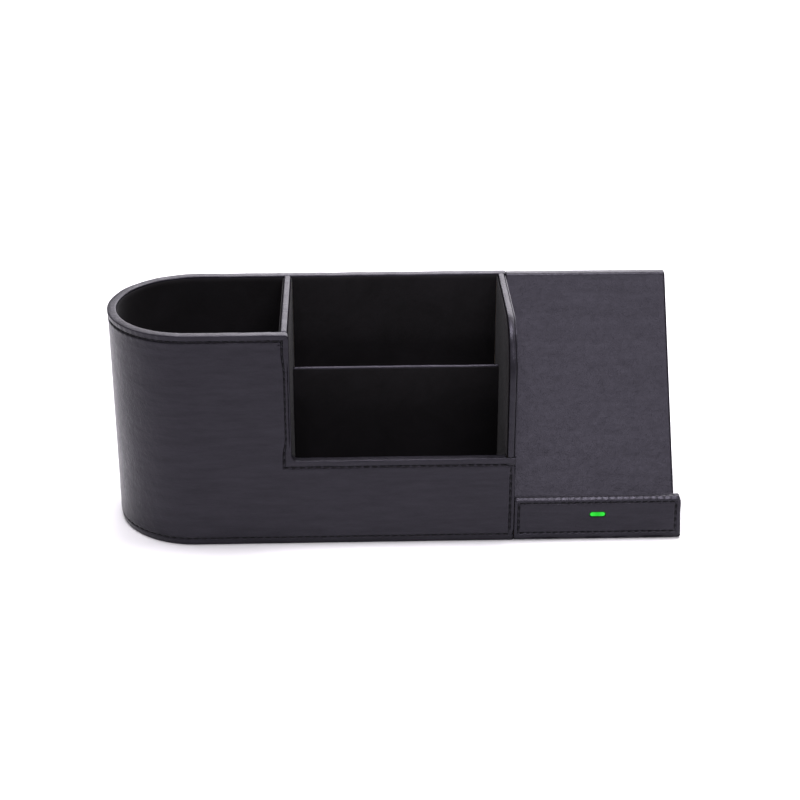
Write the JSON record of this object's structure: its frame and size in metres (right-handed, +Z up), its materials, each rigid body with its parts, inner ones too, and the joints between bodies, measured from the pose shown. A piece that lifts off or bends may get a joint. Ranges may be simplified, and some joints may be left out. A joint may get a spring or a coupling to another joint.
{
  "type": "desk organizer with wireless charging stand",
  "caption": "Leather-covered desk organizer: half-round pen cup, card compartment with a low front and partition, and a leaning wireless charging panel above a phone ledge.",
  "frame": {"origin": "middle of the underside, on the surface that the organizer stands on", "axes": "+X from the pen cup to the charging stand, +Y from the front to the back, +Z up"},
  "size_m": [0.2726, 0.08, 0.109],
  "materials": {
    "leather": "fine-grained black artificial leather, satin",
    "thread": "black sewing thread",
    "lining": "black short-napped lining",
    "board": "pressed fibreboard",
    "underside": "black non-slip felt",
    "plastic": "black moulded plastic, fine texture",
    "rubber": "black rubber",
    "circuit": "green solder mask",
    "chip": "black moulded epoxy",
    "copper": "enamelled copper winding",
    "wire": "red insulated wire",
    "ferrite": "dark grey ferrite, matte",
    "steel": "plain steel",
    "light": "green lit plastic"
  },
  "bodies": {
    "root": {"outer_wall_cover": "leather", "front_board": "board", "bent_end_board": "board", "back_board": "board", "base_board": "board", "underside_sheet": "underside", "pen_cup_lining": "lining", "pen_cup_floor": "lining", "cup_divider_cover": "leather", "cup_divider_board": "board", "card_partition_cover": "leather", "card_partition_board": "board", "side_wall_cover": "leather", "side_wall_board": "board", "compartment_front_lining": "lining", "compartment_back_lining": "lining", "front_pocket_floor": "lining", "back_pocket_floor": "lining", "ledge_cover": "leather", "ledge_lip_board": "board", "ledge_trough_board": "board", "panel_cover": "leather", "panel_board": "board", "stand_end_cover": "leather", "stand_back_board": "board", "stand_left_board": "board", "stand_right_board": "board", "stand_base_board": "board", "bottom_plate": "plastic", "plate_screw_1": "steel", "plate_screw_2": "steel", "plate_screw_3": "steel", "plate_screw_4": "steel", "stand_foot_1": "rubber", "stand_foot_2": "rubber", "stand_foot_3": "rubber", "stand_foot_4": "rubber", "coil_tray": "plastic", "charging_coil": "copper", "ferrite_sheet": "ferrite", "coil_lead_1": "copper", "coil_lead_2": "copper", "main_circuit_board": "circuit", "charge_controller": "chip", "coil_driver": "chip", "power_inductor": "ferrite", "resonant_capacitor_1": "chip", "resonant_capacitor_2": "chip", "resonant_capacitor_3": "chip", "usb_port_shell": "steel", "usb_port_tongue": "plastic", "usb_port_bezel": "plastic", "led_board": "circuit", "status_led": "light", "led_light_pipe": "light", "led_cable": "wire"}
  },
  "joints": []
}
